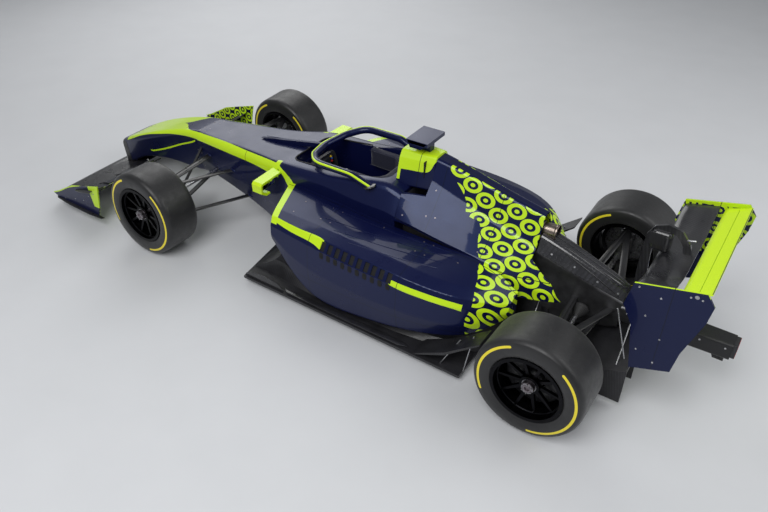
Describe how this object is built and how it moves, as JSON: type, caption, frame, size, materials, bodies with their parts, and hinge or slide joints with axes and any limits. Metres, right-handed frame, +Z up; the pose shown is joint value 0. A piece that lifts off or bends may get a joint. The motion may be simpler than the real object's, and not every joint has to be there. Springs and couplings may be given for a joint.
{
  "type": "open wheel racing car",
  "caption": "Single-seat open wheel racing car with wings front and rear, a cockpit hoop, an engine cover with an airbox and slick tyres.",
  "frame": {"origin": "centre of the bounding box on the ground", "axes": "+X forward along the car, +Y to its left, +Z up"},
  "size_m": [5.27, 1.9178, 1.136],
  "materials": {
    "bodywork": "glossy dark navy paint over carbon fibre",
    "lime_paint": "glossy lime paint over carbon fibre",
    "carbon": "lacquered carbon fibre",
    "skid_wood": "laminated skid board",
    "tyre": "slick racing rubber",
    "rim_metal": "black coated forged alloy",
    "steel": "machined steel",
    "alloy": "cast alloy",
    "engine_metal": "cast alloy block",
    "padding": "dark foam padding",
    "light_red": "red lamp lens"
  },
  "bodies": {
    "chassis": {"monocoque": "bodywork", "nose_cone": "bodywork", "halo": "bodywork", "airbox": "lime_paint", "camera_pod": "bodywork", "engine_cover": "bodywork", "sidepod_left": "bodywork", "sidepod_right": "bodywork", "mirrors": "lime_paint", "front_wing_main_plane": "carbon", "front_wing_flaps": "carbon", "front_wing_endplates": "bodywork", "rear_wing_main_plane": "carbon", "rear_wing_endplates": "bodywork", "rear_wing_pylon": "carbon", "floor": "carbon", "undercuts": "carbon", "tyre_shields": "carbon", "plank": "skid_wood", "diffuser": "carbon", "gearbox_cover": "carbon", "engine": "engine_metal", "gearbox": "alloy", "rear_light": "light_red", "exhaust": "steel", "seat": "carbon", "headrest": "padding", "front_upper_wishbones": "carbon", "front_lower_wishbones": "carbon", "rear_upper_wishbones": "carbon", "rear_lower_wishbones": "carbon", "rear_uprights": "alloy"},
    "knuckle_left": {"front_upright_left": "alloy"},
    "knuckle_right": {"front_upright_right": "alloy"},
    "steering_column": {"steering_wheel": "carbon"},
    "rack": {"steering_rack": "steel"},
    "drag_flap": {"rear_wing_flap": "lime_paint"},
    "wheel_front_left": {"tyre_front_left": "tyre", "rim_front_left": "rim_metal", "hub_front_left": "steel"},
    "wheel_front_right": {"tyre_front_right": "tyre", "rim_front_right": "rim_metal", "hub_front_right": "steel"},
    "wheel_rear_left": {"tyre_rear_left": "tyre", "rim_rear_left": "rim_metal", "hub_rear_left": "steel"},
    "wheel_rear_right": {"tyre_rear_right": "tyre", "rim_rear_right": "rim_metal", "hub_rear_right": "steel"}
  },
  "joints": [
    {"name": "steer_left", "type": "hinge", "parent": "chassis", "child": "knuckle_left", "pos_m": [1.38, 0.725, 0.33383], "axis": [0, 0, 1], "range_deg": [-18, 18]},
    {"name": "steer_right", "type": "hinge", "parent": "chassis", "child": "knuckle_right", "pos_m": [1.38, -0.725, 0.33383], "axis": [0, 0, 1], "range_deg": [-18, 18]},
    {"name": "turn_steering_wheel", "type": "hinge", "parent": "chassis", "child": "steering_column", "pos_m": [0.32006, 0, 0.63997], "axis": [-0.9781, 0, 0.2079], "range_deg": [-180, 180]},
    {"name": "slide_rack", "type": "slide", "parent": "chassis", "child": "rack", "axis": [0, 1, 0], "range_m": [-0.0315, 0.0315]},
    {"name": "open_flap", "type": "hinge", "parent": "chassis", "child": "drag_flap", "pos_m": [-2.38213, 0, 0.9805], "axis": [0, -1, 0], "range_deg": [0, 22]},
    {"name": "roll_front_left", "type": "hinge", "parent": "knuckle_left", "child": "wheel_front_left", "pos_m": [1.38, 0.8, 0.33383], "axis": [0, 0.9991, 0.0419], "continuous": true},
    {"name": "roll_front_right", "type": "hinge", "parent": "knuckle_right", "child": "wheel_front_right", "pos_m": [1.38, -0.8, 0.33383], "axis": [0, 0.9991, -0.0419], "continuous": true},
    {"name": "roll_rear_left", "type": "hinge", "parent": "chassis", "child": "wheel_rear_left", "pos_m": [-1.755, 0.771, 0.33322], "axis": [0, 0.9995, 0.0332], "continuous": true},
    {"name": "roll_rear_right", "type": "hinge", "parent": "chassis", "child": "wheel_rear_right", "pos_m": [-1.755, -0.771, 0.33322], "axis": [0, 0.9995, -0.0332], "continuous": true}
  ],
  "couplings": [
    {"joint": "steer_right", "follows": "steer_left", "ratio": 1},
    {"joint": "turn_steering_wheel", "follows": "steer_left", "ratio": 10},
    {"joint": "slide_rack", "follows": "steer_left", "m_per_rad": -0.1}
  ]
}
